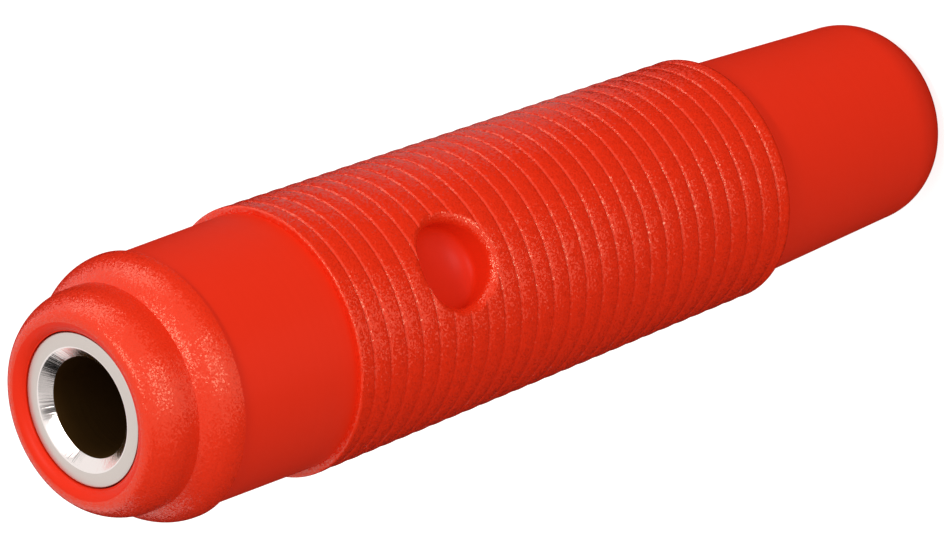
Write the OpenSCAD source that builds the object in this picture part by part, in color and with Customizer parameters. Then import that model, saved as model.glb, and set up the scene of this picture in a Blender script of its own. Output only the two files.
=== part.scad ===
// In-line 4 mm banana coupler: a moulded insulating body with a ribbed grip,
// a turned socket contact that is drawn out of the front for wiring,
// and a slotted screw in the contact that clamps the wire.
// The coupler stands on its rear face at z = 0 and its axis is the Z axis.
// The socket's mouth looks up, and the side recess looks towards -Y.

/* [Nose] */
// Radius of the nose bead where it is widest
nose_r = 4.48; // [4.35:0.01:4.65]
// Height of the straight stretch between the flange and the bead
nose_straight = 0.52; // [0.3:0.02:1.2]
// Radius of the bead's large outer rounding
bead_round = 2.2; // [1.9:0.1:2.5]
// Angle that the large rounding turns through before the lip's rounding takes over
bead_turn = 40; // [34:1:44]
// Radius of the small rounding at the crest of the lip
lip_round = 0.5; // [0.4:0.02:0.58]
// How far the lip stands above the face of the contact
lip_rise = 0.3; // [0.2:0.02:0.4]

/* [Flange and neck] */
// Radius of the flange
flange_r = 5.27; // [5.15:0.01:5.6]
// Radius of the rounding that runs from the nose up to the flange
flange_round = 1.9; // [1.6:0.1:2.4]
// Height of the flange's straight rim
flange_rim = 0.1; // [0.05:0.05:0.6]
// Radius of the neck
neck_r = 5.06; // [4.7:0.01:5.12]
// Length of the neck
neck_len = 6; // [4:0.1:9]

/* [Ribbed grip] */
// Number of ribs
rib_count = 27; // [22:1:32]
// Distance from one rib to the next
rib_pitch = 0.88; // [0.8:0.005:0.95]
// Width of a rib
rib_w = 0.6; // [0.4:0.005:0.65]
// Height of a rib above the groove
rib_h = 0.12; // [0.06:0.01:0.16]
// Radius of the rounded edges of a rib
rib_edge = 0.1; // [0.04:0.01:0.16]
// Radius over the first rib, beside the neck
grip_front_r = 5.35; // [5.25:0.01:5.6]
// Radius over the last rib, beside the tail
grip_rear_r = 4.75; // [4.7:0.01:5]
// Radius of the rounding at the rear end of the grip
grip_end_round = 0.35; // [0.15:0.05:0.4]

/* [Side recess] */
// Distance from the contact's face back to the middle of the recess
recess_back = 15.5; // [13:0.1:20]
// Radius of the recess
recess_r = 1.7; // [1.2:0.1:2.3]
// Thickness of the wall left between the recess and the contact's bore
recess_wall = 0.55; // [0.5:0.05:0.9]
// Height over which the floor of the recess curves up like a bowl
recess_bowl_h = 0.7; // [0.2:0.1:0.9]
// How much wider the recess is at its mouth
mouth_flare = 0.4; // [0.1:0.05:0.5]
// Height over which the mouth widens
mouth_flare_h = 0.4; // [0.2:0.05:0.5]

/* [Tail and cable entry] */
// Length of the smooth tail behind the grip
tail_len = 9.7; // [8:0.1:14]
// Radius of the tail beside the grip
tail_front_r = 4.3; // [4.15:0.01:4.35]
// Radius of the tail where its end begins to round off
tail_rear_r = 3.88; // [3.6:0.01:4]
// Radius of the rounding at the end of the tail
tail_round = 2.5; // [1.8:0.1:2.8]
// Radius of the flat face at the end of the tail
base_r = 2.85; // [2.7:0.05:3]
// Radius of the hole that the cable goes through
cable_r = 2.1; // [1.2:0.05:2.2]
// Radius of the rounded edge at the cable hole's mouth
cable_edge = 0.25; // [0.1:0.05:0.35]

/* [Socket contact] */
// Radius of the bore that takes the plug
pin_r = 2; // [1.9:0.01:2.1]
// Depth of the bore that takes the plug
pin_depth = 18.5; // [14:0.5:19]
// Radius of the countersink at the bore's mouth
sink_r = 2.45; // [2.3:0.01:2.6]
// Depth of the countersink
sink_depth = 0.39; // [0.2:0.01:0.8]
// Radius of the contact's head
head_r = 3.04; // [2.95:0.01:3.08]
// Length of the contact's head
head_len = 3; // [2:0.5:6]
// Width of the bevel on the edge of the head
head_bevel = 0.08; // [0.04:0.02:0.2]
// Radius of the contact behind its head
barrel_r = 2.7; // [2.5:0.05:2.8]
// Length of the contact
contact_len = 28.5; // [27:0.5:30]
// Radius of the hole for the wire
wire_r = 1.4; // [0.8:0.05:1.5]
// Depth of the hole for the wire
wire_depth = 7.2; // [6:0.1:7.2]
// Gap between the contact and the bore that it slides in
slide_gap = 0.05; // [0.03:0.01:0.1]
// Free length behind the contact
rear_room = 1; // [0.5:0.1:2]

/* [Clamp screw] */
// Radius of the screw over its thread
screw_r = 1.45; // [1.2:0.05:1.45]
// Length of the screw
screw_len = 2.4; // [1.6:0.1:2.6]
// Distance from the contact's rear end to the screw
screw_back = 4; // [3:0.1:5]
// Gap between the screw and its hole
thread_gap = 0.05; // [0.03:0.01:0.1]
// How far the rim of the screw's head lies below the surface of the contact
screw_sink = 0.05; // [0.02:0.01:0.2]
// Width of the screwdriver slot
slot_w = 0.5; // [0.3:0.05:0.7]
// Depth of the screwdriver slot
slot_depth = 0.7; // [0.4:0.05:0.9]
// Width of the bevel round the screw's head
screw_bevel = 0.15; // [0.05:0.05:0.3]
// Length of the cone point of the screw
point_len = 0.4; // [0.2:0.1:0.6]

/* [Hidden] */

// How far a cut runs past the face that it opens
over = 0.5;
// Half of the angle at a drill's tip
drill_half_angle = 59;
// Number of steps in a large rounding and in a small one
big_steps = 10;
small_steps = 4;
edge_steps = 3;
$fn = 96;

// Heights along the axis, from the rear face up
grip_len = (rib_count - 1) * rib_pitch + rib_w;
grip_top = tail_len + grip_len;
neck_top = grip_top + neck_len;
rim_top = neck_top + flange_rim;
flange_turn = acos(1 - (flange_r - nose_r) / flange_round);
bead_foot = rim_top + flange_round * sin(flange_turn);
bead_centre = bead_foot + nose_straight;

// Centre of the lip's small rounding, which meets the bead's large one without a step
lip_centre_r = nose_r - bead_round + (bead_round - lip_round) * cos(bead_turn);
lip_centre_z = bead_centre + (bead_round - lip_round) * sin(bead_turn);
lip_top = lip_centre_z + lip_round;
face_z = lip_top - lip_rise;
lip_inner_turn = acos((lip_round - lip_rise) / lip_round);

// The edge of a rib can't be rounder than the rib is high, and leaves a short straight foot
foot_share = 0.1;
rib_round = min(rib_edge, (1 - foot_share) * rib_h);

// Bores of the body that the contact slides in
head_bore_r = head_r + slide_gap;
barrel_bore_r = barrel_r + slide_gap;
head_seat_z = face_z - head_len;
room_floor_z = face_z - contact_len - rear_room;
room_cone_h = barrel_bore_r - cable_r;

// Rounding at the end of the tail, cut off by the flat rear face
tail_turn = acos(1 - (tail_rear_r - base_r) / tail_round);
tail_round_z = tail_round * sin(tail_turn);

// Side recess
recess_z = face_z - recess_back;
recess_floor = barrel_bore_r + recess_wall;
recess_mouth = grip_crest(recess_z);

// Part of the recess's radius over which the floor curves up
bowl_share = 0.9;
bowl_w = bowl_share * recess_r;

// Clamp screw
screw_z = face_z - contact_len + screw_back;
screw_hole_r = screw_r + thread_gap;
screw_top = sqrt(pow(barrel_r, 2) - pow(screw_r, 2)) - screw_sink;
point_r = screw_r - point_len;

// Radius over the ribs at a height, by the taper of the grip
function grip_crest(z) =
    grip_rear_r + (grip_front_r - grip_rear_r) * (z - tail_len) / grip_len;

// Points of an oval stretch in the plane of radius and height
function oval(cr, cz, w, h, from, to, steps) =
    [for (i = [0 : steps])
        let (a = from + (to - from) * i / steps)
        [cr + w * cos(a), cz + h * sin(a)]];

// Points of a round stretch
function arc(cr, cz, r, from, to, steps) = oval(cr, cz, r, r, from, to, steps);

// The same points without the first, for a stretch that goes on from another
function going_on(points) = [for (i = [1 : len(points) - 1]) points[i]];

// One rib between its two feet in the grooves; the last rib's rear end has no groove
function rib(i) =
    let (z = tail_len + rib_w / 2 + i * rib_pitch)
    let (crest = grip_crest(z))
    let (rear = i == 0 ? grip_end_round : rib_round)
    concat(
        i == 0 ? [] : [[crest - rib_h, z - rib_w / 2]],
        arc(crest - rear, z - rib_w / 2 + rear, rear, -90, 0, edge_steps),
        arc(crest - rib_round, z + rib_w / 2 - rib_round, rib_round, 0, 90, edge_steps),
        [[crest - rib_h, z + rib_w / 2]]);

// All ribs in one run of points
function ribs() = [for (i = [0 : rib_count - 1]) each rib(i)];

// Outside of the body, from the rear face up to the crest of the lip and over it
function body_outside() =
    concat(
        arc(tail_rear_r - tail_round, tail_round_z, tail_round, -tail_turn, 0, big_steps),
        [[tail_front_r, tail_len]],
        ribs(),
        [[neck_r, grip_top], [neck_r, neck_top], [flange_r, neck_top]],
        arc(flange_r - flange_round, rim_top, flange_round, 0, flange_turn, big_steps),
        arc(nose_r - bead_round, bead_centre, bead_round, 0, bead_turn, big_steps),
        going_on(arc(lip_centre_r, lip_centre_z, lip_round, bead_turn, 90 + lip_inner_turn, big_steps)));

// Inside of the body, from the face of the contact down to the cable hole's mouth
function body_inside() =
    concat(
        [[head_bore_r, face_z], [head_bore_r, head_seat_z]],
        [[barrel_bore_r, head_seat_z], [barrel_bore_r, room_floor_z]],
        [[cable_r, room_floor_z - room_cone_h]],
        arc(cable_r + cable_edge, cable_edge, cable_edge, 180, 270, small_steps));

// Recess in the side of the grip, cut with its axis along Z and turned afterwards
module recess_cut() {
    mouth_r = recess_r + mouth_flare;
    wall_top = recess_mouth - mouth_flare_h;
    rotate_extrude()
        polygon(concat(
            [[0, recess_floor]],
            oval(recess_r - bowl_w, recess_floor + recess_bowl_h, bowl_w, recess_bowl_h,
                -90, 0, small_steps),
            oval(mouth_r, wall_top, mouth_flare, mouth_flare_h, 180, 90, small_steps),
            [[mouth_r, recess_mouth + over], [0, recess_mouth + over]]));
}

module insulating_body() {
    color("#e0301a")
        difference() {
            rotate_extrude()
                polygon(concat(body_outside(), body_inside()));
            translate([0, 0, recess_z])
                rotate([90, 0, 0])
                    recess_cut();
        }
}

// Drilled hole that runs down from z = 0, with the cone that a drill leaves
module drilled(r, depth) {
    tip = r / tan(drill_half_angle);
    rotate_extrude()
        polygon([[0, over], [r, over], [r, -depth], [0, -depth - tip]]);
}

// Turned blank of the contact, with its face at z = 0
module contact_blank() {
    rotate_extrude()
        polygon([
            [0, -contact_len],
            [barrel_r - head_bevel, -contact_len],
            [barrel_r, -contact_len + head_bevel],
            [barrel_r, -head_len],
            [head_r, -head_len],
            [head_r, -head_bevel],
            [head_r - head_bevel, 0],
            [0, 0]]);
}

module socket_contact() {
    color("#c9c2b8")
        translate([0, 0, face_z])
            difference() {
                contact_blank();
                drilled(pin_r, pin_depth);
                translate([0, 0, -sink_depth])
                    cylinder(r1 = pin_r, r2 = sink_r, h = sink_depth);
                translate([0, 0, -contact_len])
                    rotate([180, 0, 0])
                        drilled(wire_r, wire_depth);
                translate([0, 0, -contact_len + screw_back])
                    rotate([90, 0, 0])
                        cylinder(r = screw_hole_r, h = barrel_r + over);
            }
}

// Slotted set screw with a cone point, its head looking along Z
module screw_solid() {
    difference() {
        rotate_extrude()
            polygon([
                [0, screw_top - screw_len],
                [point_r, screw_top - screw_len],
                [screw_r, screw_top - screw_len + point_len],
                [screw_r, screw_top - screw_bevel],
                [screw_r - screw_bevel, screw_top],
                [0, screw_top]]);
        translate([-screw_r - over, -slot_w / 2, screw_top - slot_depth])
            cube([2 * (screw_r + over), slot_w, slot_depth + over]);
    }
}

module clamp_screw() {
    color("#d4cfc6")
        translate([0, 0, screw_z])
            rotate([90, 0, 0])
                screw_solid();
}

insulating_body();
socket_contact();
clamp_screw();
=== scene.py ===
# %% [markdown]
# An in-line socket for a 4 mm plug: a red moulded body with a ribbed grip, and a turned and plated
# contact whose ring shows in the nose. The imported model gives the frame and its parts.
# Everything here is in metres in that frame: the coupler stands on its cable end, and its axis is Z.

# %% Load the frame
import math
import bpy
from mathutils import Matrix, Vector


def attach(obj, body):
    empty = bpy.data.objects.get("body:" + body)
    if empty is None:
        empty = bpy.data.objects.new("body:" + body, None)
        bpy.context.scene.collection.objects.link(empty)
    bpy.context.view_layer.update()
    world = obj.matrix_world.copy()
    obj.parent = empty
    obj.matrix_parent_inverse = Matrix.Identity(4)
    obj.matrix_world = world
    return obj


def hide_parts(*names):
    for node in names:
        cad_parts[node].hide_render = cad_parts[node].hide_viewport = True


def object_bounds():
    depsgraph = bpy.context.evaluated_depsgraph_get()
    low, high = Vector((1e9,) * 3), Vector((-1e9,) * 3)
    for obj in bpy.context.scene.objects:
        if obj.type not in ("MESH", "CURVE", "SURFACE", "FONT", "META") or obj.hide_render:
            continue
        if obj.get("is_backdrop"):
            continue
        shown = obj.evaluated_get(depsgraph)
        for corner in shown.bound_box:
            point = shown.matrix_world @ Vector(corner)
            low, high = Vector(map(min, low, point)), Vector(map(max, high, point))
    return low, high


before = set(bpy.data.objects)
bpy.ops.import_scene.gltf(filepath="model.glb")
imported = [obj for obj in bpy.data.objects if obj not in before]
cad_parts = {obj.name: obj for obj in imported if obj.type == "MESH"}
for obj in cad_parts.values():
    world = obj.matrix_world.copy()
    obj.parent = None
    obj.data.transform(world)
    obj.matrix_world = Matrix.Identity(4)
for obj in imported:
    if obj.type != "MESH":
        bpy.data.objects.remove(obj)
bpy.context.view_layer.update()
scene = bpy.context.scene
mm = 0.001

# %% [markdown]
# The camera comes first, because it decides which details need care. The photograph was taken from far
# away through a long lens, so the near and the far end look almost equally large. The camera looks down
# on the socket end at 40 degrees, and it is rolled so that the coupler lies across the picture. A Track
# To constraint could aim it, but a point to look at, a distance and three angles can be fitted to the
# photograph one by one.

# %% Camera
LENS = 950
SENSOR = 36
AIM = Vector((-0.9313, -9.9427, 30.7584)) * mm
DISTANCE = 935.6 * mm
AZIMUTH, ELEVATION, ROLL = (math.radians(x) for x in (-3.499, 40.044, -110.491))

toward_camera = Vector((math.sin(AZIMUTH) * math.cos(ELEVATION),
                        -math.cos(AZIMUTH) * math.cos(ELEVATION),
                        math.sin(ELEVATION)))
camera = bpy.data.objects.new("camera", bpy.data.cameras.new("camera"))
camera.data.lens = LENS
camera.data.sensor_width = SENSOR
camera.data.clip_start, camera.data.clip_end = 0.1, 10
camera.matrix_world = (Matrix.Translation(AIM + DISTANCE * toward_camera)
                       @ (-toward_camera).to_track_quat("-Z", "Y").to_matrix().to_4x4()
                       @ Matrix.Rotation(ROLL, 4, "Z"))
scene.collection.objects.link(camera)
scene.camera = camera
scene.view_settings.view_transform = "Standard"
print("camera at mm:", [round(x / mm, 1) for x in camera.matrix_world.translation])

# %% [markdown]
# Colours are picked as sRGB hex values, as in any paint program, but Blender mixes light in linear
# values. One function turns the first into the second. Materials could be put together by hand in the
# shader editor, but a script can make them again after every change. So another function adds a node to
# a tree with its settings, its input values and its links in one call.

# %% Helpers for colours and nodes
def colour(hex_value):
    """Linear red, green, blue and alpha of an sRGB hex colour such as #e23214."""
    parts = [int(hex_value[i:i + 2], 16) / 255 for i in (1, 3, 5)]
    linear = [c / 12.92 if c <= 0.04045 else ((c + 0.055) / 1.055) ** 2.4 for c in parts]
    return (*linear, 1.0)


def feed(tree, socket, value):
    """Gives an input socket a value, or links it to the output socket that feeds it."""
    if isinstance(value, bpy.types.NodeSocket):
        tree.links.new(value, socket)
    else:
        socket.default_value = value


def node(tree, kind, inputs=None, **settings):
    """Adds a node with its settings, and feeds its inputs."""
    made = tree.nodes.new(kind)
    for name, value in settings.items():
        setattr(made, name, value)
    for name, value in (inputs or {}).items():
        feed(tree, made.inputs[name], value)
    return made


def material(name):
    """A new material, its node tree and its principled shader."""
    made = bpy.data.materials.new(name)
    made.use_nodes = True
    return made, made.node_tree, made.node_tree.nodes["Principled BSDF"]


print("a mid grey of #808080 is", round(colour("#808080")[0], 3), "in linear light")

# %% [markdown]
# The world is white. The photograph has a pure white ground, so the camera and all reflections see it at
# full strength. The light that it throws on the coupler is dimmer, or the red would turn pale. A white
# ground could be laid behind the coupler after the render, but then its reflections would stay grey.
# Here a Light Path node tells the rays apart.

# %% World
AMBIENT = 0.70


def seen_as_white(tree, dim, bright):
    """The bright value for camera, glossy and transmission rays, and the dim one for all others."""
    ray = node(tree, "ShaderNodeLightPath").outputs
    seen = ray["Is Camera Ray"]
    for kind in ("Is Glossy Ray", "Is Transmission Ray"):
        seen = node(tree, "ShaderNodeMath", {0: seen, 1: ray[kind]}, operation="MAXIMUM").outputs[0]
    return node(tree, "ShaderNodeMapRange",
                {"Value": seen, "To Min": dim, "To Max": bright}).outputs["Result"]


world = bpy.data.worlds.new("studio")
world.use_nodes = True
scene.world = world
tree = world.node_tree
sky = tree.nodes["Background"]
sky.inputs["Color"].default_value = colour("#ffffff")
tree.links.new(seen_as_white(tree, AMBIENT, 1.0), sky.inputs["Strength"])
print(f"world: strength 1.0 where it is seen, {AMBIENT} where it lights")

# %% [markdown]
# The floor under the cable end is a painted board. A shadow catcher could take its place, but that needs
# a second step, which lays the picture on white. So a part of the board's white is a glow that only the
# camera and reflections see. The rest is its own paint, lit by the lamps, which keeps the coupler's soft
# shadow. The board lies a hair below the cable end, because two faces in one plane flicker.

# %% Floor
FLOOR_SIZE = 1.2
FLOOR_GAP = 0.02 * mm
FLOOR_GLOW = 0.8


def matt(name, hex_value):
    """Matt paint or card of a colour, its node tree and its shader."""
    made, tree, shader = material(name)
    shader.inputs["Base Color"].default_value = colour(hex_value)
    shader.inputs["Roughness"].default_value = 0.9
    shader.inputs["Specular IOR Level"].default_value = 0.1
    return made, tree, shader


# Rolled wall paint: flat white without a sheen, so that the eye stays on the coupler
floor_paint, tree, shader = matt("matt_white_studio_paint", "#b4b2af")
shader.inputs["Emission Color"].default_value = colour("#ffffff")
tree.links.new(seen_as_white(tree, 0.0, FLOOR_GLOW), shader.inputs["Emission Strength"])

half = FLOOR_SIZE / 2
corners = [(x * half, y * half, -FLOOR_GAP) for x, y in ((-1, -1), (1, -1), (1, 1), (-1, 1))]
floor_mesh = bpy.data.meshes.new("floor")
floor_mesh.from_pydata(corners, [], [(0, 1, 2, 3)])
floor = bpy.data.objects.new("floor", floor_mesh)
floor.data.materials.append(floor_paint)
scene.collection.objects.link(floor)
floor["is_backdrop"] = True
print(f"floor: {FLOOR_SIZE} m wide, {FLOOR_GAP / mm:.2f} mm below the cable end")

# %% [markdown]
# The photograph's brightest lines are thin: they run along the ribs' edges and round the nose. A narrow
# lamp draws such lines, so the key light is a strip that lies across the coupler's axis, turned a little.
# It hangs about 30 degrees from the lens, up and towards the socket's mouth. A small softbox fills the
# near side, and a wide one overhead lights the top. One big softbox would be simpler, but its lines would
# be broad. Directions are given along the picture: up, towards the camera's side, and along the axis to
# the socket's mouth.

# %% Lamps
ACROSS = Vector((math.cos(AZIMUTH), math.sin(AZIMUTH), 0))
NEAR_SIDE = Vector((math.sin(AZIMUTH), -math.cos(AZIMUTH), 0))
MIDDLE = Vector((0, 0, 21.5)) * mm
LAMP_DISTANCE = 0.5


def softbox(name, toward, size, watts, roll=0):
    """An oblong lamp in a direction (up, near, along) that looks at the coupler, rolled in degrees."""
    up, near, along = toward
    away = (up * ACROSS + near * NEAR_SIDE + along * Vector((0, 0, 1))).normalized()
    lamp = bpy.data.lights.new(name, "AREA")
    lamp.shape = "RECTANGLE"
    lamp.size, lamp.size_y = size
    lamp.energy = watts
    made = bpy.data.objects.new(name, lamp)
    made.matrix_world = (Matrix.Translation(MIDDLE + LAMP_DISTANCE * away)
                         @ away.to_track_quat("Z", "Y").to_matrix().to_4x4()
                         @ Matrix.Rotation(math.radians(roll), 4, "Z"))
    made.visible_camera = False
    scene.collection.objects.link(made)
    print(f"{name}: {watts} W over {size[0]} by {size[1]} m")


softbox("key_strip", toward=(0.333, 0.399, 0.854), size=(0.36, 0.04), watts=0.95, roll=-18)
softbox("side_softbox", toward=(-0.03, 0.98, 0.17), size=(0.18, 0.11), watts=0.62)
softbox("overhead_softbox", toward=(0.95, 0.0, 0.0), size=(0.32, 0.32), watts=0.75)

# %% [markdown]
# Shiny things are drawn by what they mirror, so a photographer stands black and grey card round them.
# These cards do the same. Darker materials could fake what they do, but would look wrong in any other
# light. Only reflections see the cards: the camera still sees white, and they take no light from the
# coupler.

# %% Card
# Matt card stock: black gives the eye dark rims, grey softer ones, and off-white only dims the white
black_card = matt("black_card", "#101010")[0]
grey_card = matt("grey_card", "#979797")[0]
pale_card = matt("pale_card", "#c8c8c8")[0]


def card(name, paint, points):
    """A flat card of those corners that only reflections see."""
    mesh = bpy.data.meshes.new(name)
    mesh.from_pydata(points, [], [range(len(points))])
    mesh.materials.append(paint)
    made = bpy.data.objects.new(name, mesh)
    made.visible_camera = made.visible_diffuse = False
    made.visible_transmission = made.visible_shadow = False
    scene.collection.objects.link(made)
    made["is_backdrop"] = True
    print(f"{name}: {paint.name} with {len(points)} corners")


def around(degrees, radius, height):
    """A point round the coupler, turned from the near side towards the top of the picture."""
    angle = math.radians(degrees)
    return radius * (math.cos(angle) * NEAR_SIDE + math.sin(angle) * ACROSS) + Vector((0, 0, height))


print("card paints:", ", ".join(paint.name for paint in (black_card, grey_card, pale_card)))

# %% [markdown]
# The sides of the coupler lean away from the lens and mirror the floor: a white floor would draw pale
# rims, and the photograph has dark ones, so black card lies on the floor. A gap in it gives the near side
# its faint sheen, and a grey patch lifts the upper side.

# %% Cards on the floor
FLOOR_CARD_REACH = 0.3
GAP_FROM, GAP_TO, GAP_RADIUS = -38, 6, 0.042
PATCH_FROM, PATCH_TO, PATCH_INNER = 85, 150, 0.018
CARD_HEIGHT, PATCH_HEIGHT = 0.2 * mm, 0.4 * mm
DISC_STEPS, SECTOR_STEPS = 48, 16


def sector(inner, outer, start, stop, height):
    """Corners of a part of a ring, in a level plane."""
    run = [start + (stop - start) * i / SECTOR_STEPS for i in range(SECTOR_STEPS + 1)]
    return [around(d, outer, height) for d in run] + [around(d, inner, height) for d in reversed(run)]


card("floor_card_inside", black_card,
     [around(360 * i / DISC_STEPS, GAP_RADIUS, CARD_HEIGHT) for i in range(DISC_STEPS)])
card("floor_card_outside", black_card,
     sector(GAP_RADIUS, FLOOR_CARD_REACH, GAP_TO, 360 + GAP_FROM, CARD_HEIGHT))
card("floor_card_grey", grey_card,
     sector(PATCH_INNER, GAP_RADIUS, PATCH_FROM, PATCH_TO, PATCH_HEIGHT))

# %% [markdown]
# More cards stand upright, far out. Two are on the lower side in the picture: a black one from the floor
# up, which keeps the ribs of the underside dark, and a pale one above it, which dims the white that the
# underside of the nose mirrors. Two black ones draw the dark marks in the polished countersink.

# %% Upright cards
UPRIGHT_RADIUS = 0.34

# Of each card: its paint, the degrees that it spans, and its lower and upper edge in metres
UPRIGHT_CARDS = {
    "low_side_card": (pale_card, (-130, -50), (0.25, 0.5)),
    "low_side_black_card": (black_card, (-130, -50), (0.0, 0.25)),
    "lower_card": (black_card, (-44, 4), (0.45, 0.72)),
    "upper_card": (black_card, (70, 88), (0.30, 0.44)),
}
for name, (paint, (start, stop), (low, high)) in UPRIGHT_CARDS.items():
    card(name, paint, [around(degrees, UPRIGHT_RADIUS, height)
                       for degrees, height in ((start, low), (stop, low), (stop, high), (start, high))])

# %% [markdown]
# The body is one moulding and nearly all of it is turned: a single section swept round the axis. It could
# be put together from cylinders with bevels, but its roundings run into each other without a kink, and
# that is easier to draw in a section. The section is worked out from the same named sizes as the CAD
# part, only with more points on each rounding.

# %% Sizes of the body, in millimetres
nose_r, nose_straight, bead_round, bead_turn = 4.48, 0.52, 2.2, 40
lip_round, lip_rise = 0.5, 0.3
flange_r, flange_round, flange_rim = 5.27, 1.9, 0.1
neck_r, neck_len = 5.06, 6
rib_count, rib_pitch, rib_w, rib_edge = 27, 0.88, 0.6, 0.1
grip_front_r, grip_rear_r, grip_end_round = 5.35, 4.75, 0.35
tail_len, tail_front_r, tail_rear_r, tail_round, base_r = 9.7, 4.3, 3.88, 2.5, 2.85
cable_r, cable_edge = 2.1, 0.25
head_r, head_len, barrel_r, contact_len, slide_gap, rear_room = 3.04, 3, 2.7, 28.5, 0.05, 1
print(f"{rib_count} ribs, {rib_pitch} mm apart")

# %% [markdown]
# Where two roundings touch, both have the same tangent, so their centres and the angles at which they
# end follow from the radii. They could be measured in the CAD part, but then a change of one radius would
# leave a kink. The heights add up from the cable end to the face of the metal ring.

# %% Heights and angles that follow from the sizes
grip_len = (rib_count - 1) * rib_pitch + rib_w
grip_top = tail_len + grip_len
neck_top = grip_top + neck_len
rim_top = neck_top + flange_rim
flange_turn = math.degrees(math.acos(1 - (flange_r - nose_r) / flange_round))
bead_centre = rim_top + flange_round * math.sin(math.radians(flange_turn)) + nose_straight
lip_centre_r = nose_r - bead_round + (bead_round - lip_round) * math.cos(math.radians(bead_turn))
lip_centre_z = bead_centre + (bead_round - lip_round) * math.sin(math.radians(bead_turn))
lip_inner_turn = math.degrees(math.acos((lip_round - lip_rise) / lip_round))
face_z = lip_centre_z + lip_round - lip_rise
head_bore_r, barrel_bore_r = head_r + slide_gap, barrel_r + slide_gap
room_floor_z = face_z - contact_len - rear_room
tail_turn = math.degrees(math.acos(1 - (tail_rear_r - base_r) / tail_round))
tail_round_z = tail_round * math.sin(math.radians(tail_turn))
print(f"grip from {tail_len} to {grip_top:.2f} mm, face of the contact at {face_z:.3f} mm")

# %% [markdown]
# The ribs are what repeats, so only the two plain ends of the section are written out: one from the
# cable hole up to the top of the last rib, and one from the top of the first rib round the nose and down
# inside. A rounding could be a Bezier curve, but points on a circle keep exactly to its radius.

# %% The plain ends of the body's section
last_rib_z = tail_len + rib_w / 2
first_rib_z = last_rib_z + (rib_count - 1) * rib_pitch
fine, small = 24, 8  # steps of a large and of a small rounding


def arc(centre_r, centre_z, radius, start, stop, steps):
    """Points of a round stretch, as pairs of radius and height in millimetres."""
    angles = [math.radians(start + (stop - start) * i / steps) for i in range(steps + 1)]
    return [(centre_r + radius * math.cos(a), centre_z + radius * math.sin(a)) for a in angles]


def crest_at(height):
    """Radius over the ribs at a height, by the taper of the grip."""
    return grip_rear_r + (grip_front_r - grip_rear_r) * (height - tail_len) / grip_len


cable_end = (
    [(cable_r, room_floor_z - (barrel_bore_r - cable_r))]
    + arc(cable_r + cable_edge, cable_edge, cable_edge, 180, 270, small)
    + arc(tail_rear_r - tail_round, tail_round_z, tail_round, -tail_turn, 0, fine)
    + [(tail_front_r, tail_len)]
    + arc(crest_at(last_rib_z) - grip_end_round, tail_len + grip_end_round, grip_end_round,
          -90, 0, small)
    + [(crest_at(last_rib_z), last_rib_z)])
socket_end = (
    [(crest_at(first_rib_z), first_rib_z)]
    + arc(crest_at(first_rib_z) - rib_edge, grip_top - rib_edge, rib_edge, 0, 90, small)
    + [(neck_r, grip_top), (neck_r, neck_top), (flange_r, neck_top)]
    + arc(flange_r - flange_round, rim_top, flange_round, 0, flange_turn, fine)
    + arc(nose_r - bead_round, bead_centre, bead_round, 0, bead_turn, fine)
    + arc(lip_centre_r, lip_centre_z, lip_round, bead_turn, 90 + lip_inner_turn, fine)[1:]
    + [(head_bore_r, face_z), (head_bore_r, face_z - head_len)]
    + [(barrel_bore_r, face_z - head_len), (barrel_bore_r, room_floor_z)]
    + [(cable_r, room_floor_z - (barrel_bore_r - cable_r))])
print(f"section ends: {len(cable_end)} and {len(socket_end)} points")

# %% [markdown]
# The 27 ribs could be modelled one by one, or with an Array modifier, but then they would have to be
# joined to the plain ends by hand. So a Geometry Nodes tree draws the grooves between the two ends and
# sweeps the whole line round the axis, as a lathe would. The same tree serves the contact and the screw,
# which have a groove count of their own, so every size is a named input.

# %% The tree and its inputs
INPUTS = {
    "Geometry": ["Geometry"],
    "Float": ["Pitch", "Rib width", "Crown", "Groove depth", "Wall slope", "Edge radius", "Taper",
              "Path radius"],
    "Vector": ["First crest"],
    "Int": ["Grooves", "Steps round"],
    "Material": ["Material"],
}
turned = bpy.data.node_groups.new("turned_with_grooves", "GeometryNodeTree")
turned.interface.new_socket("Geometry", in_out="OUTPUT", socket_type="NodeSocketGeometry")
for kind, names in INPUTS.items():
    for name in names:
        turned.interface.new_socket(name, in_out="INPUT", socket_type="NodeSocket" + kind)
given = node(turned, "NodeGroupInput").outputs
print("inputs of the tree:", ", ".join(socket.name for socket in given if socket.name))

# %% [markdown]
# One groove runs from the top of a rib to the top of the next, over six points: the top, the edge of the
# groove, the two ends of its floor, the other edge, and the next top, which lies further out by the
# taper. The edges lie lower than the tops by a small crown. The points could be worked out in Python, but
# then the body, the screw and its hole would each need a line of their own. So Math nodes work them out,
# written here as a table of sums that may use earlier results.

# %% Sums for one groove
FLOOR_EDGE_SHARE = 0.15  # rounding at the floor, as a share of the one at the edge
SUMS = (
    ("Half rib", "MULTIPLY", "Rib width", 0.5),
    ("Far side", "SUBTRACT", "Pitch", "Half rib"),
    ("Floor start", "ADD", "Half rib", "Wall slope"),
    ("Floor stop", "SUBTRACT", "Far side", "Wall slope"),
    ("Crown line", "MULTIPLY", "Crown", -1.0),
    ("Far crown", "ADD", "Crown line", "Taper"),
    ("Floor line", "MULTIPLY", "Groove depth", -1.0),
    ("Far floor", "ADD", "Floor line", "Taper"),
    ("Floor edge", "MULTIPLY", "Edge radius", FLOOR_EDGE_SHARE),
)
known = {socket.name: socket for socket in given}
for result, operation, *terms in SUMS:
    terms = {i: known.get(term, term) for i, term in enumerate(terms)}
    known[result] = node(turned, "ShaderNodeMath", terms, operation=operation).outputs[0]
print(f"{len(SUMS)} sums")

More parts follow.
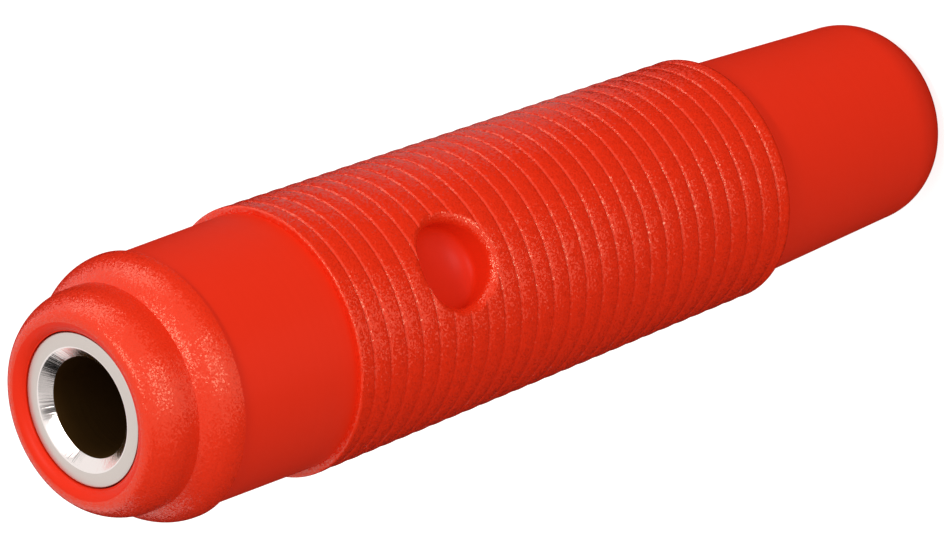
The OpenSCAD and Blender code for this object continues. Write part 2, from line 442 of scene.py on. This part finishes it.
# %% [markdown]
# An Index Switch gives each of the six points its own height, depth and rounding. Set Position then puts
# the points of a plain line there, and Fillet Curve rounds the corners. A Bevel modifier on the finished
# solid could round them too, but it would have to find these edges among all the others.

# %% One groove as a rounded line
FILLET_STEPS = 3
BY_POINT = {
    "Height": (0.0, "Half rib", "Floor start", "Floor stop", "Far side", "Pitch"),
    "Depth": (0.0, "Crown line", "Floor line", "Far floor", "Far crown", "Taper"),
    "Rounding": (0.0, "Edge radius", "Floor edge", "Floor edge", "Edge radius", 0.0),
}
index = node(turned, "GeometryNodeInputIndex").outputs[0]
for result, choices in BY_POINT.items():
    switch = node(turned, "GeometryNodeIndexSwitch", {"Index": index}, data_type="FLOAT")
    while len(switch.index_switch_items) < len(choices):
        switch.index_switch_items.new()
    for i, choice in enumerate(choices):
        feed(turned, switch.inputs[i + 1], known.get(choice, choice))
    known[result] = switch.outputs[0]

groove_points = len(BY_POINT["Height"])
line = node(turned, "GeometryNodeMeshLine", {"Count": groove_points}).outputs[0]
place = node(turned, "ShaderNodeCombineXYZ", {"X": known["Depth"], "Z": known["Height"]}).outputs[0]
line = node(turned, "GeometryNodeSetPosition", {"Geometry": line, "Position": place}).outputs[0]
line = node(turned, "GeometryNodeMeshToCurve", {"Mesh": line}).outputs[0]
groove = node(turned, "GeometryNodeFilletCurve",
              {"Curve": line, "Radius": known["Rounding"], "Limit Radius": True,
               "Count": FILLET_STEPS}, mode="POLY").outputs[0]
groove = node(turned, "GeometryNodeCurveToMesh", {"Curve": groove}).outputs[0]
print(f"a groove of {groove_points} points, before its corners are rounded")

# %% [markdown]
# A repeat zone could add one groove after another, but equal copies are what instances are for. Instance
# on Points sets them on a line that leans by the taper. Each copy ends where the next one begins, and the
# first and the last meet the plain ends, so Merge by Distance can make one closed line of them all.

# %% A row of grooves, joined to the plain ends
SAME_POINT = 1e-7  # metres
step = node(turned, "ShaderNodeCombineXYZ", {"X": given["Taper"], "Z": given["Pitch"]}).outputs[0]
row = node(turned, "GeometryNodeMeshLine",
           {"Count": given["Grooves"], "Start Location": given["First crest"], "Offset": step}).outputs[0]
copies = node(turned, "GeometryNodeInstanceOnPoints", {"Points": row, "Instance": groove}).outputs[0]
copies = node(turned, "GeometryNodeRealizeInstances", {"Geometry": copies}).outputs[0]
joined = node(turned, "GeometryNodeJoinGeometry")
for part in (copies, given["Geometry"]):
    turned.links.new(part, joined.inputs[0])
whole = node(turned, "GeometryNodeMergeByDistance",
             {"Geometry": joined.outputs[0], "Distance": SAME_POINT}).outputs[0]
print(f"{len(turned.nodes)} nodes up to the whole section")

# %% [markdown]
# Curve to Mesh sweeps the section round a circle. A Screw modifier would do that for a plain line, but
# then the grooves would need an object of their own. The sweep reads the section as X out of the circle
# and Y down, so the line is laid flat first.

# %% Sweep the section round the axis
spot = node(turned, "GeometryNodeInputPosition").outputs[0]
spot = node(turned, "ShaderNodeSeparateXYZ", {0: spot}).outputs
out = node(turned, "ShaderNodeMath", {0: spot["X"], 1: given["Path radius"]},
           operation="SUBTRACT").outputs[0]
down = node(turned, "ShaderNodeMath", {0: spot["Z"], 1: -1.0}, operation="MULTIPLY").outputs[0]
flat = node(turned, "ShaderNodeCombineXYZ", {"X": out, "Y": down}).outputs[0]
whole = node(turned, "GeometryNodeSetPosition", {"Geometry": whole, "Position": flat}).outputs[0]
whole = node(turned, "GeometryNodeMeshToCurve", {"Mesh": whole}).outputs[0]
ring = node(turned, "GeometryNodeCurvePrimitiveCircle",
            {"Resolution": given["Steps round"], "Radius": given["Path radius"]}).outputs[0]
solid = node(turned, "GeometryNodeCurveToMesh", {"Curve": ring, "Profile Curve": whole}).outputs[0]
solid = node(turned, "GeometryNodeMergeByDistance",
             {"Geometry": solid, "Distance": SAME_POINT}).outputs[0]
solid = node(turned, "GeometryNodeRealizeInstances", {"Geometry": solid}).outputs[0]
solid = node(turned, "GeometryNodeSetMaterial",
             {"Geometry": solid, "Material": given["Material"]}).outputs[0]
node(turned, "NodeGroupOutput", {0: solid})
print(f"tree with {len(turned.nodes)} nodes and {len(turned.interface.items_tree)} sockets")

# %% [markdown]
# The section goes into the tree as a mesh of edges without faces. It could be a curve, but a mesh takes a
# plain list of points. Every solid that comes out is checked by its volume: each triangle spans a small
# pyramid with the origin, and their sum is positive when the faces look outwards. A corner cut off a
# cube of 1 mm, which is a sixth of it, shows that the sum is right.

# %% Helpers for meshes
def section_object(name, runs):
    """A mesh of edges only, which holds runs of section points in the plane of X and Z."""
    points, edges = [], []
    for run in runs:
        first = len(points)
        points += [(r * mm, 0, z * mm) for r, z in run]
        edges += [(i, i + 1) for i in range(first, len(points) - 1)]
    mesh = bpy.data.meshes.new(name)
    mesh.from_pydata(points, edges, [])
    made = bpy.data.objects.new(name, mesh)
    scene.collection.objects.link(made)
    return made


def volume_of(mesh):
    """Signed volume of a closed mesh in cubic millimetres, positive when its faces look outwards."""
    mesh.calc_loop_triangles()
    at = mesh.vertices
    total = sum(at[t.vertices[0]].co.dot(at[t.vertices[1]].co.cross(at[t.vertices[2]].co))
                for t in mesh.loop_triangles)
    return total / 6 / mm ** 3


corner = bpy.data.meshes.new("corner")
corner.from_pydata([(0, 0, 0), (mm, 0, 0), (0, mm, 0), (0, 0, mm)], [],
                   [(0, 2, 1), (0, 1, 3), (0, 3, 2), (1, 2, 3)])
print(f"corner of a cube of 1 mm: {volume_of(corner):.4f} cubic mm")
bpy.data.meshes.remove(corner)

# %% [markdown]
# A Geometry Nodes result only lives in its modifier. It is evaluated once and copied into a plain mesh,
# which booleans and the export can use, and the modifier goes with the helper object. Its inputs are
# set by their identifiers, because that is how a modifier stores them.

# %% Run the tree and keep a plain mesh
PATH_RADIUS = 4 * mm
STEPS_ROUND = 160


def turn(name, runs, paint, grooves=0, steps=STEPS_ROUND, first=(0, 0, 0), **sizes):
    """Sweeps runs of section points with the tree and gives a new object with a plain mesh."""
    section = section_object(name + "_section", runs)
    modifier = section.modifiers.new("turned", "NODES")
    modifier.node_group = turned
    values = {"Material": paint, "Grooves": grooves, "Steps round": steps,
              "First crest": [x * mm for x in first], "Path radius": PATH_RADIUS}
    for size_name, size in sizes.items():
        values[size_name.replace("_", " ").capitalize()] = size * mm
    for socket in turned.interface.items_tree:
        if socket.in_out == "INPUT" and socket.name in values:
            modifier[socket.identifier] = values[socket.name]
    evaluated = section.evaluated_get(bpy.context.evaluated_depsgraph_get())
    mesh = bpy.data.meshes.new_from_object(evaluated)
    bpy.data.objects.remove(section)
    if volume_of(mesh) < 0:
        mesh.flip_normals()
    mesh.name = name
    made = bpy.data.objects.new(name, mesh)
    scene.collection.objects.link(made)
    print(f"{name}: {len(mesh.polygons)} faces, {volume_of(mesh):.1f} cubic mm")
    return made


facet_w = 2 * math.pi * flange_r / STEPS_ROUND
print(f"{STEPS_ROUND} steps round: facets {facet_w:.2f} mm wide on the flange")

# %% [markdown]
# The body is moulded polyamide. The mould was spark eroded where fingers hold the coupler and on the
# nose: every spark leaves a tiny crater, and the plastic copies them as a grain of small facets that
# glint. A bump texture is too soft for that, so each cell of a Voronoi texture tilts the surface by its
# own random amount. The light that comes back out of such a skin has passed through some red plastic,
# which warms the sheen.

# %% Grained red polyamide
RED = colour("#e02a0e")
WARM_SHEEN = colour("#fff4cc")


def spark_eroded(name, facet, tilt, roughness):
    """Red polyamide with facets of a width in millimetres, each tilted by up to half of the tilt."""
    paint, tree, shader = material(name)
    shader.inputs["Base Color"].default_value = RED
    shader.inputs["Roughness"].default_value = roughness
    shader.inputs["Specular IOR Level"].default_value = 0.5
    shader.inputs["Specular Tint"].default_value = WARM_SHEEN
    at = node(tree, "ShaderNodeTexCoord").outputs["Object"]
    cells = node(tree, "ShaderNodeTexVoronoi", {"Vector": at, "Scale": 1 / (facet * mm)}).outputs["Color"]
    lean = node(tree, "ShaderNodeVectorMath", {0: cells, 1: (0.5, 0.5, 0.5)},
                operation="SUBTRACT").outputs[0]
    lean = node(tree, "ShaderNodeVectorMath", {0: lean, "Scale": tilt}, operation="SCALE").outputs[0]
    face = node(tree, "ShaderNodeNewGeometry").outputs["Normal"]
    face = node(tree, "ShaderNodeVectorMath", {0: face, 1: lean}, operation="ADD").outputs[0]
    face = node(tree, "ShaderNodeVectorMath", {0: face}, operation="NORMALIZE").outputs[0]
    tree.links.new(face, shader.inputs["Normal"])
    print(f"{name}: facets of {facet} mm")
    return paint


# Spark-eroded polyamide: a matt red that glints in single specks, and a softer sheen on the nose. The
# real facets are about 0.03 mm wide, less than a pixel, so they are drawn wider to show at all.
grained_grip = spark_eroded("spark_eroded_polyamide_grip", facet=0.055, tilt=0.44, roughness=0.18)
grained_nose = spark_eroded("spark_eroded_polyamide_nose", facet=0.05, tilt=0.32, roughness=0.25)

# %% [markdown]
# The mould was turned on a lathe and then polished on the neck, on the tail and in the recess. There the
# plastic is smooth, with the last faint marks of the lathe. Such marks run round the axis, so they only
# depend on a point's height and its distance from the axis: a flat noise texture reads those two values.
# An image could hold such marks, but would have to be wrapped round the part. The metal contact is turned
# too, and uses the same marks.

# %% Polished red polyamide
COARSEST = 2  # width of the noise's coarsest layer, in spacings; each finer one is half as wide


def lathe_marks(tree, spacing, depth):
    """Fine marks round the axis, of a spacing and a depth in millimetres, as a surface normal."""
    at = node(tree, "ShaderNodeTexCoord").outputs["Object"]
    across = node(tree, "ShaderNodeVectorMath", {0: at, 1: (1, 1, 0)}, operation="MULTIPLY").outputs[0]
    radius = node(tree, "ShaderNodeVectorMath", {0: across}, operation="LENGTH").outputs["Value"]
    height = node(tree, "ShaderNodeSeparateXYZ", {0: at}).outputs["Z"]
    where = node(tree, "ShaderNodeCombineXYZ", {"X": radius, "Y": height}).outputs[0]
    scale = 1 / (COARSEST * spacing * mm)
    marks = node(tree, "ShaderNodeTexNoise", {"Vector": where, "Scale": scale, "Detail": 2.0},
                 noise_dimensions="2D").outputs["Fac"]
    print(f"lathe marks {spacing} mm apart and {depth} mm deep")
    return node(tree, "ShaderNodeBump", {"Height": marks, "Distance": depth * mm}).outputs["Normal"]


# Polyamide from a polished mould: a full, even red with a soft sheen
polished, tree, shader = material("polished_polyamide")
shader.inputs["Base Color"].default_value = RED
shader.inputs["Roughness"].default_value = 0.4
shader.inputs["Specular IOR Level"].default_value = 0.12
tree.links.new(lathe_marks(tree, spacing=0.25, depth=0.006), shader.inputs["Normal"])

# %% [markdown]
# The CAD part has square grooves, 0.12 mm deep. The photograph shows thin bright lines there and an
# outline with low, soft steps, so here the grooves are shallow notches, narrower than the ribs, with
# sloping walls and well rounded edges. The edge that faces the key strip catches its light, and the
# facets break that line into a row of specks.

# %% The turned body
GRIP, POLISHED, NOSE = 0, 1, 2  # material slots of the body
NOTCH = {"rib_width": 0.7, "crown": 0.03, "groove_depth": 0.085, "wall_slope": 0.08, "edge_radius": 0.07}

body = turn("body_shell", (cable_end, socket_end), grained_grip,
            grooves=rib_count - 1, first=(crest_at(last_rib_z), 0, last_rib_z),
            pitch=rib_pitch, taper=(grip_front_r - grip_rear_r) * rib_pitch / grip_len, **NOTCH)
for paint in (polished, grained_nose):
    body.data.materials.append(paint)

# %% [markdown]
# The round recess in the side is cut out with a boolean. A cylinder with a Bevel modifier would be the
# short way, but the rim is rounded by the same amount all the way round, and the grip's surface is lower
# beside the recess than before and behind it. So the cutter is made of spokes: each one follows the floor
# out from the middle, rounds into the wall, and flares out where it nears the height of the grip.

# %% One spoke of the recess
recess_back, recess_r, recess_wall, recess_bowl_h, bowl_share = 15.5, 1.7, 0.55, 0.7, 0.9
mouth_flare, mouth_flare_h = 0.4, 0.4
RIM_OVERSHOOT, ABOVE = 0.006, 0.6  # how far the flare and the whole cutter rise above the grip
FLARE_SHARE = 0.9  # the most that the flare takes of the wall's height
QUARTER_TURN = [math.radians(7.5 * i) for i in range(13)]
recess_z = face_z - recess_back
floor_h = barrel_bore_r + recess_wall


def recess_spoke(angle):
    """Points of one spoke, as distance from the recess's axis and height above the coupler's."""
    wide = recess_r + mouth_flare
    crest = crest_at(recess_z + wide * math.sin(angle))
    rim = math.sqrt(crest ** 2 - (wide * math.cos(angle)) ** 2) + RIM_OVERSHOOT
    high = min(mouth_flare_h, FLARE_SHARE * (rim - floor_h - recess_bowl_h))
    bowl_w = bowl_share * recess_r
    wall = [(recess_r - bowl_w + bowl_w * math.sin(t), floor_h + recess_bowl_h * (1 - math.cos(t)))
            for t in QUARTER_TURN]
    flare = [(wide - mouth_flare * math.cos(t), rim - high + high * math.sin(t))
             for t in QUARTER_TURN]
    return wall + flare + [(wide, rim + ABOVE)]


print(f"recess at {recess_z:.3f} mm, {len(recess_spoke(0))} points on a spoke")

# %% [markdown]
# Neighbouring spokes are joined by faces, and one point in the middle of the floor and one on top close
# the cutter. A boolean gives the cut surface the cutter's material, so the cutter has two: the faces of
# the flare keep the grain of the grip, and all that lies deeper is polished.

# %% The cutter
SPOKES = 96
FLARE_FROM = recess_r + 0.02

points, faces = [], []
for i in range(SPOKES):
    angle = 2 * math.pi * i / SPOKES
    points += [(out * math.cos(angle) * mm, -up * mm, (recess_z + out * math.sin(angle)) * mm)
               for out, up in recess_spoke(angle)]
count = len(recess_spoke(0))
points += [(0, -floor_h * mm, recess_z * mm), (0, points[-1][1], recess_z * mm)]
floor_point, top_point = len(points) - 2, len(points) - 1
for i in range(SPOKES):
    here, after = i * count, (i + 1) % SPOKES * count
    faces += [(here + k, here + k + 1, after + k + 1, after + k) for k in range(count - 1)]
    faces += [(floor_point, here, after), (top_point, after + count - 1, here + count - 1)]
cutter_mesh = bpy.data.meshes.new("recess_cutter")
cutter_mesh.from_pydata(points, [], faces)
for paint in (grained_grip, polished):
    cutter_mesh.materials.append(paint)
for face in cutter_mesh.polygons:
    spot = face.center / mm
    from_axis = math.hypot(spot.x, spot.z - recess_z)
    face.material_index = GRIP if from_axis > FLARE_FROM else POLISHED
if volume_of(cutter_mesh) < 0:
    cutter_mesh.flip_normals()
cutter = bpy.data.objects.new("recess_cutter", cutter_mesh)
scene.collection.objects.link(cutter)
print(f"cutter: {len(faces)} faces, {volume_of(cutter_mesh):.1f} cubic mm")

# %% [markdown]
# The exact solver is slower than the float one, but it stays clean where the cutter's rim runs almost
# along the ribs. As with the tree, the result is copied into a plain mesh and the modifier is removed.

# %% Cut the recess
def cut(target, tool):
    """Cuts the tool out of the target, keeps a plain mesh and removes the tool."""
    modifier = target.modifiers.new("cut", "BOOLEAN")
    modifier.operation, modifier.solver, modifier.object = "DIFFERENCE", "EXACT", tool
    evaluated = target.evaluated_get(bpy.context.evaluated_depsgraph_get())
    mesh = bpy.data.meshes.new_from_object(evaluated)
    target.modifiers.clear()
    target.data = mesh
    bpy.data.objects.remove(tool)
    print(f"{target.name} after the cut: {len(mesh.polygons)} faces, {volume_of(mesh):.1f} cubic mm")


cut(body, cutter)

# %% [markdown]
# The finish of a face is found by where it lies: the neck and the tail by their height, the band round
# the metal ring and the bore by their distance from the axis. What is left above the neck is the nose,
# with a grain of its own. Faces could be painted by hand, but not again after each change of size.

# %% The finish of each face
LIP_CREST, BORE_LIMIT, NECK_INNER = 3.5, barrel_bore_r + 0.1, 4  # radii between two finishes
HAIR = 0.001
for face in body.data.polygons:
    spot = face.center / mm
    from_axis = math.hypot(spot.x, spot.y)
    tail = spot.z < tail_len - HAIR
    neck = grip_top + HAIR < spot.z < neck_top - HAIR and from_axis > NECK_INNER
    inside = from_axis < LIP_CREST and (spot.z > neck_top or from_axis < BORE_LIMIT)
    if tail or neck or inside:
        face.material_index = POLISHED
    elif spot.z > neck_top - HAIR:
        face.material_index = NOSE
slots = [face.material_index for face in body.data.polygons]
print("faces with the finish of the grip, polished, and of the nose:",
      [slots.count(slot) for slot in (GRIP, POLISHED, NOSE)])

# %% [markdown]
# Flat shading would show every facet of the sweep, and smooth shading alone would blur the ribs. So the
# body is shaded smooth, and an edge that turns by more than a set angle stays an edge. Then it is hung
# on the moving body that it rides on, and the CAD piece that it replaces is hidden.

# %% Shade the body and hand it to the frame
BODY_SHARP = 32


def shade_by_angle(mesh, degrees):
    """Smooth shading with an edge kept sharp wherever it turns by more than the angle."""
    mesh.shade_smooth()
    mesh.set_sharp_from_angle(angle=math.radians(degrees))
    print(f"{mesh.name}: {len(mesh.vertices)} points, smooth below {degrees} degrees")


shade_by_angle(body.data, BODY_SHARP)
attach(body, "housing")
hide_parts("insulating_body")

# %% [markdown]
# The contact is turned from brass and nickel plated. Nickel is a warm, slightly dark white metal. The
# face and the outside keep the fine marks of the lathe. They get the same noise as the plastic, only
# finer and shallower. The plating bath hardly reaches down the bore, so brass shows there, dull and
# brown, and its colour is painted darker as painted shade for the deep bore. One material with a mask
# could show both metals, but two of them on two slots are easier to change.

# %% Turned nickel plate and bare brass
def metal(name, hex_value, roughness):
    """A metal of a colour and a roughness, its node tree and its shader."""
    made, tree, shader = material(name)
    shader.inputs["Base Color"].default_value = colour(hex_value)
    shader.inputs["Metallic"].default_value = 1.0
    shader.inputs["Roughness"].default_value = roughness
    print(f"{name}: {hex_value}, roughness {roughness}")
    return made, tree, shader


# Nickel over turned brass: a warm, even grey, too dull to mirror a lamp
dull_nickel, tree, shader = metal("turned_nickel_plate", "#d3c9c2", 0.38)
tree.links.new(lathe_marks(tree, spacing=0.06, depth=0.003), shader.inputs["Normal"])

# Brass as the drill left it, dull and brown; its colour is also painted darker all over, as painted shade
# for the deep bore
bore_brass_painted_dark, tree, shader = metal("dull_brass_of_the_bore_painted_shade", "#6a4c26", 0.55)
tree.links.new(lathe_marks(tree, spacing=0.1, depth=0.01), shader.inputs["Normal"])

# %% [markdown]
# The countersink is polished by its cutter, which leaves faint marks that run down the cone. Those marks
# only depend on the angle round the axis, so their noise reads a point's direction from the axis and not
# its distance. An anisotropic shader would smear the reflections evenly, without single marks.

# %% Polished nickel plate
CONE_MARKS, CONE_MARK_DEPTH = 30.0, 0.012  # noise cells per unit of direction, and millimetres

# Burnished nickel: a bright mirror, broken into streaks
bright_nickel, tree, shader = metal("polished_nickel_plate", "#f2e8e4", 0.14)
at = node(tree, "ShaderNodeTexCoord").outputs["Object"]
flat = node(tree, "ShaderNodeVectorMath", {0: at, 1: (1, 1, 0)}, operation="MULTIPLY").outputs[0]
direction = node(tree, "ShaderNodeVectorMath", {0: flat}, operation="NORMALIZE").outputs[0]
marks = node(tree, "ShaderNodeTexNoise", {"Vector": direction, "Scale": CONE_MARKS, "Detail": 3.0})
bump = node(tree, "ShaderNodeBump", {"Height": marks.outputs["Fac"], "Distance": CONE_MARK_DEPTH * mm})
tree.links.new(bump.outputs["Normal"], shader.inputs["Normal"])

# %% [markdown]
# The contact's section starts on the axis, at the tip of the drilled bore, and goes up the bore, over the
# countersink and the face, down the outside and into the wire hole. It has no grooves, so the tree only
# sweeps it. Cylinders, joined and cut, would give the same solid, but one section shows all its steps in
# a row. The countersink ends in a fine rounded rim, which is the light line inside the ring.

# %% The turned contact
pin_r, pin_depth, sink_r, sink_depth = 2, 18.5, 2.45, 0.39
head_bevel, wire_r, wire_depth = 0.08, 1.4, 7.2
EDGE = 0.03
RIM_DROPS = (0.8, 0.15)  # how far two points of the countersink's rim lie below the face, by EDGE
BEVEL_MIDDLE = 0.3  # how far the middle of the rounded bevel is cut back, by the bevel's width
DRILL_TIP_DEGREES = 31
COUNTERSINK, BORE = 1, 2  # material slots of the contact; slot 0 is the turned nickel
drill_tip = math.tan(math.radians(DRILL_TIP_DEGREES))
contact_section = (
    [(0, face_z - pin_depth - pin_r * drill_tip)]
    + [(pin_r, face_z - pin_depth), (pin_r, face_z - sink_depth)]
    + [(sink_r - EDGE, face_z - EDGE * RIM_DROPS[0]), (sink_r, face_z - EDGE * RIM_DROPS[1])]
    + [(sink_r + EDGE, face_z), (head_r - head_bevel, face_z)]
    + [(head_r - head_bevel * BEVEL_MIDDLE, face_z - head_bevel * BEVEL_MIDDLE)]
    + [(head_r, face_z - head_bevel), (head_r, face_z - head_len), (barrel_r, face_z - head_len)]
    + [(barrel_r, face_z - contact_len + head_bevel), (barrel_r - head_bevel, face_z - contact_len)]
    + [(wire_r, face_z - contact_len), (wire_r, face_z - contact_len + wire_depth)]
    + [(0, face_z - contact_len + wire_depth + wire_r * drill_tip)])
contact = turn("contact_shell", (contact_section,), dull_nickel)
for paint in (bright_nickel, bore_brass_painted_dark):
    contact.data.materials.append(paint)
for face in contact.data.polygons:
    spot = face.center / mm
    if math.hypot(spot.x, spot.y) < sink_r + EDGE / 2:
        face.material_index = COUNTERSINK if spot.z > face_z - sink_depth else BORE

# %% [markdown]
# The clamp screw is steel with a nickel plate, smooth but for the fine skin that a plating bath leaves.
# More roughness alone would blur its reflections evenly, so a noise texture with a very small bump gives
# that skin.

# %% Nickel-plated steel
SKIN_GRAIN, SKIN_DEPTH = 0.08, 0.002  # millimetres

# Plated steel: a cooler grey than the contact, with a sharper sheen
plated_steel, tree, shader = metal("nickel_plated_steel", "#cfcdc8", 0.28)
at = node(tree, "ShaderNodeTexCoord").outputs["Object"]
scale = 1 / (COARSEST * SKIN_GRAIN * mm)
grain = node(tree, "ShaderNodeTexNoise", {"Vector": at, "Scale": scale, "Detail": 2.0})
bump = node(tree, "ShaderNodeBump", {"Height": grain.outputs["Fac"], "Distance": SKIN_DEPTH * mm})
tree.links.new(bump.outputs["Normal"], shader.inputs["Normal"])

# %% [markdown]
# It is an M3 set screw. Its thread is the same kind of thing as the grip's ribs, only finer and deeper,
# so the tree makes it too, once for the screw and once for the threaded hole in the contact. The grooves
# are rings and not a helix: the lead of 0.5 mm is too small to notice, and rings close on themselves.

# %% Threaded solids
screw_r, screw_len, screw_bevel, point_len = 1.45, 2.4, 0.15, 0.4
screw_sink, thread_gap = 0.05, 0.05
M3 = {"pitch": 0.5, "rib_width": 0.1, "groove_depth": 0.27, "wall_slope": 0.17, "edge_radius": 0.03}
THREADS = 3
RUN_OUT = 0.05  # plain stretch between the thread and the bevel
STEPS_ROUND_SCREW = 64
HOLE_PAST = 0.5  # how far the hole's cutter stands out of the contact
screw_top = math.sqrt(barrel_r ** 2 - screw_r ** 2) - screw_sink
thread_from = screw_top - screw_bevel - THREADS * M3["pitch"] - RUN_OUT


def threaded(name, radius, low, high, tip, bevel, paint):
    """A threaded solid on the Z axis, with a cone at its low end and a bevel at its high end."""
    foot = [(0, low), (radius - tip, low), (radius, low + tip), (radius, thread_from)]
    head = [(radius, thread_from + THREADS * M3["pitch"]), (radius, high - bevel),
            (radius - bevel, high), (0, high)]
    return turn(name, (foot, head), paint, grooves=THREADS, steps=STEPS_ROUND_SCREW,
                first=(radius, 0, thread_from), taper=0, **M3)


screw = threaded("screw_shell", screw_r, screw_top - screw_len, screw_top, point_len, screw_bevel,
                 plated_steel)
hole = threaded("hole_cutter", screw_r + thread_gap, 0, barrel_r + HOLE_PAST, EDGE, EDGE, dull_nickel)

# %% [markdown]
# The screw has a straight slot for a screwdriver, which reaches it once the contact is drawn out of the
# body. The slot could be modelled into the turned solid by hand, but a boolean with a plain box is
# simpler and follows the named sizes. It is cut while the screw still stands upright.

# %% The screw's slot
slot_w, slot_depth = 0.5, 0.7
SLOT_PAST = 1  # how far the box stands past the screw


def box(name, low, high):
    """A plain box between two corners in millimetres."""
    corners = [[(low, high)[i][axis] * mm for axis, i in enumerate((x, y, z))]
               for x in (0, 1) for y in (0, 1) for z in (0, 1)]
    sides = [(0, 1, 3, 2), (4, 6, 7, 5), (0, 4, 5, 1), (2, 3, 7, 6), (0, 2, 6, 4), (1, 5, 7, 3)]
    mesh = bpy.data.meshes.new(name)
    mesh.from_pydata(corners, [], sides)
    made = bpy.data.objects.new(name, mesh)
    scene.collection.objects.link(made)
    return made


reach = screw_r + SLOT_PAST
cut(screw, box("slot", (-reach, -slot_w / 2, screw_top - slot_depth),
               (reach, slot_w / 2, screw_top + SLOT_PAST)))

# %% [markdown]
# Screw and hole were turned on an axis of their own. Now both are laid down, so that the screw's slot
# looks out of the side of the contact, and the hole is cut. The meshes are moved and not the objects,
# because a finished object stays at the origin, as the CAD part's do.

# %% Screw and hole in the contact
METAL_SHARP = 30
screw_back = 4
screw_z = face_z - contact_len + screw_back
laid_down = Matrix.Translation((0, 0, screw_z * mm)) @ Matrix.Rotation(math.radians(90), 4, "X")
for made in (screw, hole):
    made.data.transform(laid_down)
cut(contact, hole)
shade_by_angle(contact.data, METAL_SHARP)
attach(contact, "contact")
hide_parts("socket_contact")
shade_by_angle(screw.data, METAL_SHARP)
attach(screw, "screw")
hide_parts("clamp_screw")
print(f"screw at {screw_z:.3f} mm, {screw_sink} mm below the contact's surface at its rim")

# %% [markdown]
# Last, the box of the finished model is printed in millimetres.

# %% Sizes of the finished model
low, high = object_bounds()
print("finished box in mm:", [round(x / mm, 2) for x in (*low, *high)])
